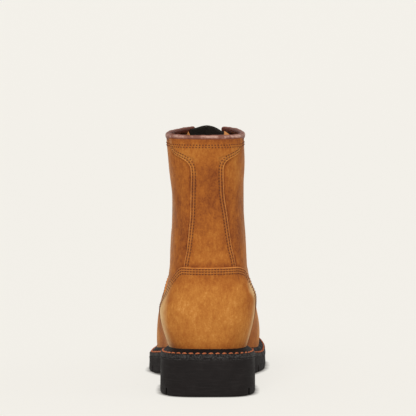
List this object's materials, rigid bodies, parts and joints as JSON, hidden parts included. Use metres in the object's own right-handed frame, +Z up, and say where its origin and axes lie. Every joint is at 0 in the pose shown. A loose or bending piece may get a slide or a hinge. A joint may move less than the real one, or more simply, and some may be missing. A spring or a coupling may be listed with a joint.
{
  "type": "work boot",
  "caption": "Lace-up ankle work boot in tan nubuck with a heel counter, a waisted back panel, a rolled collar and a stitched black welt on a heeled lug sole",
  "frame": {"origin": "on the floor under the middle of the boot's bounding box", "axes": "+Y from heel to toe, +X to the inner (medial) side, +Z up"},
  "size_m": [0.11, 0.304, 0.2338],
  "materials": {
    "binding_brown": "satin",
    "eyelet_brass": "satin",
    "insole_tan": "matte",
    "lace_brown": "matte",
    "nubuck_tan": "matte",
    "sole_rubber": "matte",
    "tongue_black": "matte",
    "welt_black": "satin"
  },
  "bodies": {
    "root": {"backstay": "nubuck_tan", "collar_binding": "binding_brown", "counter": "nubuck_tan", "eyelet_lateral_1": "eyelet_brass", "eyelet_lateral_2": "eyelet_brass", "eyelet_lateral_3": "eyelet_brass", "eyelet_lateral_4": "eyelet_brass", "eyelet_lateral_5": "eyelet_brass", "eyelet_lateral_6": "eyelet_brass", "eyelet_lateral_7": "eyelet_brass", "eyelet_lateral_8": "eyelet_brass", "eyelet_medial_1": "eyelet_brass", "eyelet_medial_2": "eyelet_brass", "eyelet_medial_3": "eyelet_brass", "eyelet_medial_4": "eyelet_brass", "eyelet_medial_5": "eyelet_brass", "eyelet_medial_6": "eyelet_brass", "eyelet_medial_7": "eyelet_brass", "eyelet_medial_8": "eyelet_brass", "insole": "insole_tan", "lace_bar": "lace_brown", "lace_cross_1": "lace_brown", "lace_cross_2": "lace_brown", "lace_cross_3": "lace_brown", "lace_cross_4": "lace_brown", "lace_cross_5": "lace_brown", "lace_cross_6": "lace_brown", "lace_cross_7": "lace_brown", "midsole": "sole_rubber", "outsole": "sole_rubber", "tongue": "tongue_black", "upper": "nubuck_tan", "vamp": "nubuck_tan", "welt": "welt_black"}
  },
  "joints": []
}
